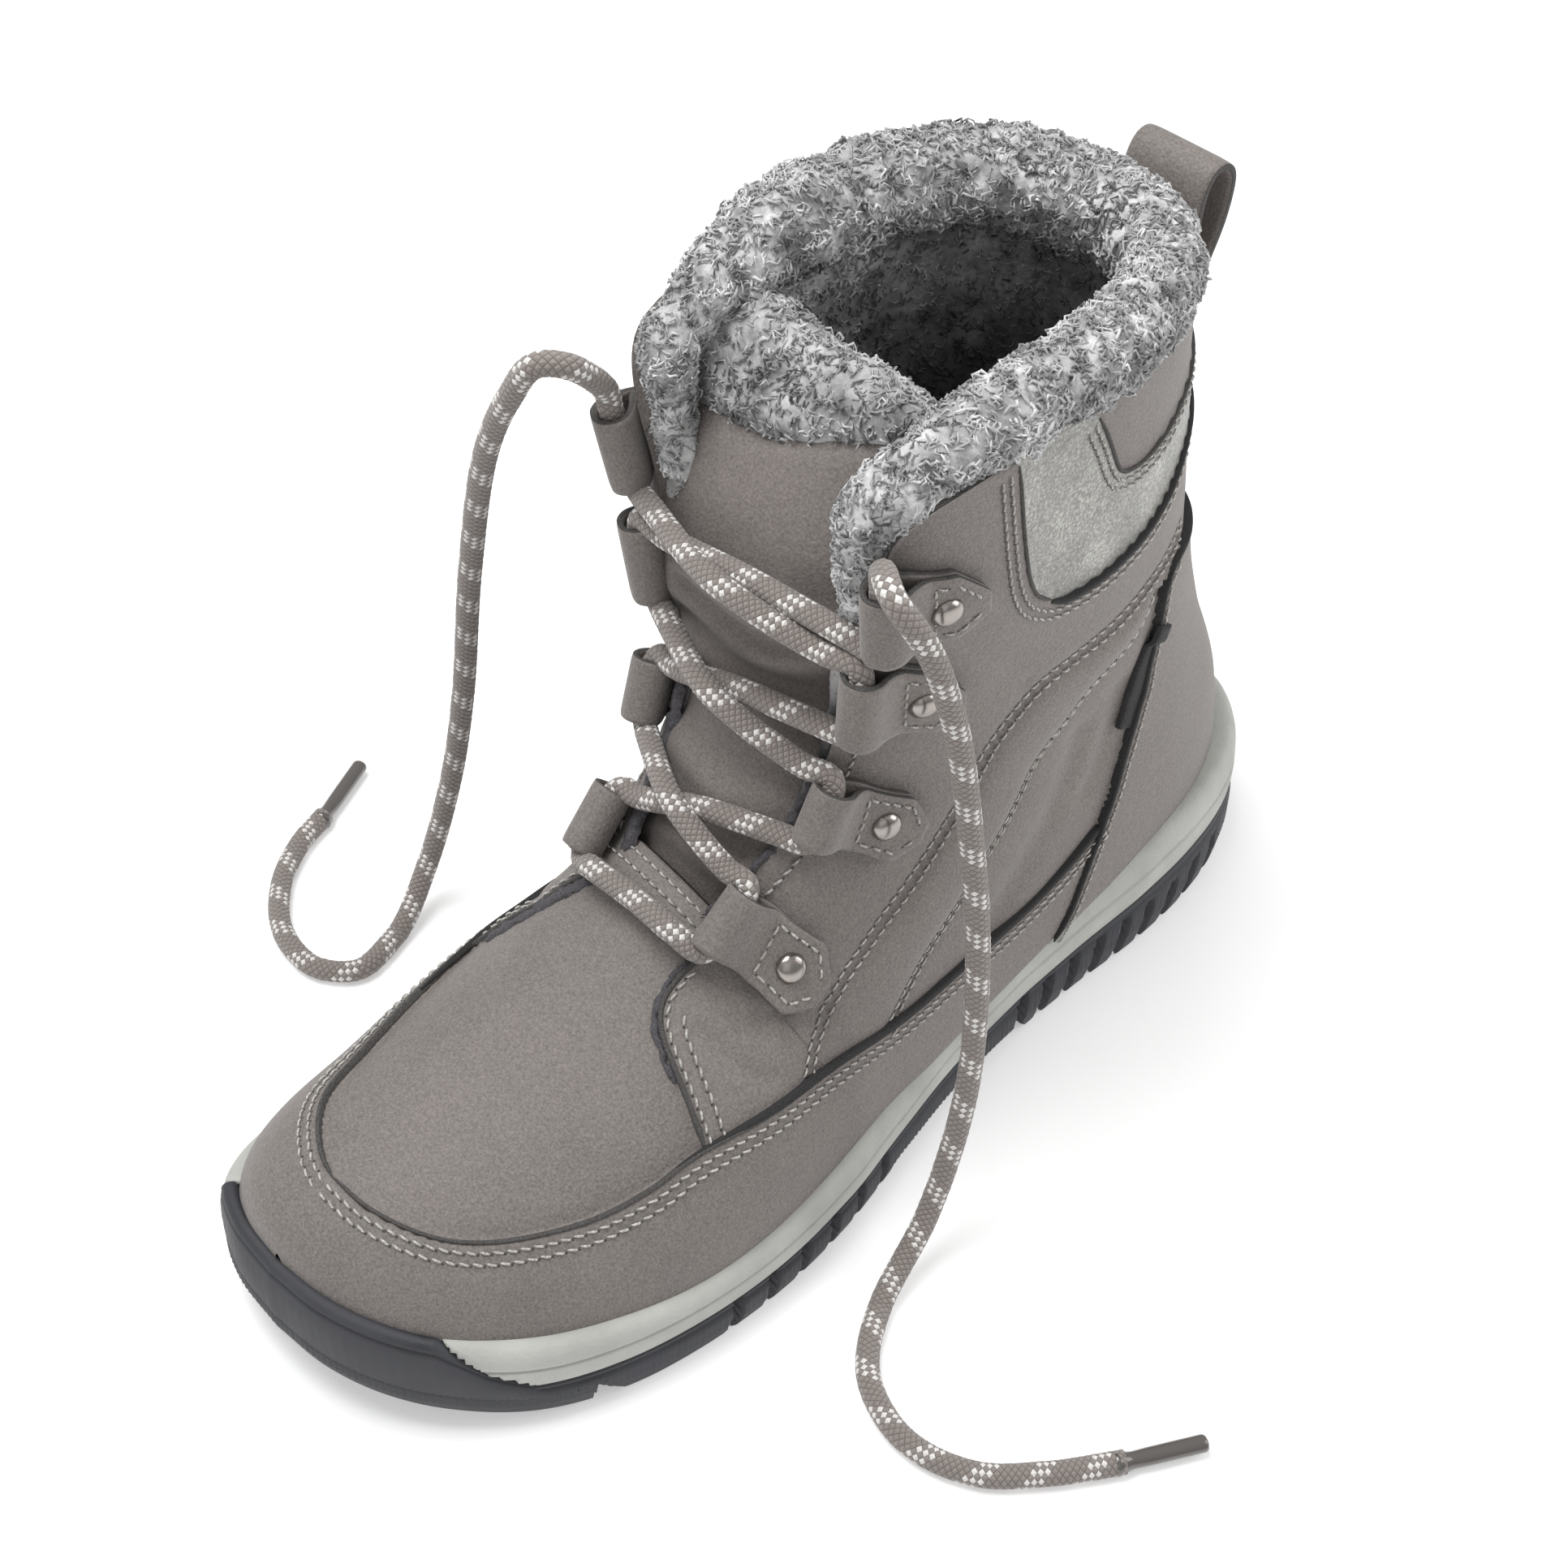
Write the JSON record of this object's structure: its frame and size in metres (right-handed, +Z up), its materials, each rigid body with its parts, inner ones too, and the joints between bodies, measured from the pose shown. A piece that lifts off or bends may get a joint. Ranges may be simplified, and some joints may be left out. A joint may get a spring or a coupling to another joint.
{
  "type": "snow boot",
  "caption": "Ankle-height lined winter boot with a pile collar, padded tongue, looped lacing with loose ends, heel pull loop and a layered lugged sole.",
  "frame": {"origin": "centre of the boot's base, on the floor, without the free lace ends", "axes": "+Z up, toe toward -Y, outer (lateral) side toward +X"},
  "size_m": [0.2774, 0.2816, 0.1939],
  "materials": {
    "rubber": "matte charcoal, finely grained",
    "foam": "matte moulded foam, light grey",
    "pile": "curly mottled grey and white pile",
    "leather": "brushed taupe-grey nubuck",
    "metal": "gunmetal, semi-gloss",
    "cord": "round braided cord, light flecks",
    "plastic": "clear shrunk sleeve over cord"
  },
  "bodies": {
    "root": {"outsole": "rubber", "midsole": "foam", "insole": "pile", "upper": "leather", "tongue": "leather", "pull_loop": "leather", "lace_loop_lateral_1": "leather", "lace_loop_lateral_2": "leather", "lace_loop_lateral_3": "leather", "lace_loop_lateral_4": "leather", "lace_loop_medial_1": "leather", "lace_loop_medial_2": "leather", "lace_loop_medial_3": "leather", "lace_loop_medial_4": "leather", "rivet_lateral_1": "metal", "rivet_lateral_2": "metal", "rivet_lateral_3": "metal", "rivet_lateral_4": "metal", "rivet_medial_1": "metal", "rivet_medial_2": "metal", "rivet_medial_3": "metal", "rivet_medial_4": "metal", "lace_bar": "cord", "lace_cross_1": "cord", "lace_cross_2": "cord", "lace_cross_3": "cord", "lace_end_lateral": "cord", "lace_end_medial": "cord", "aglet_lateral": "plastic", "aglet_medial": "plastic"}
  },
  "joints": []
}
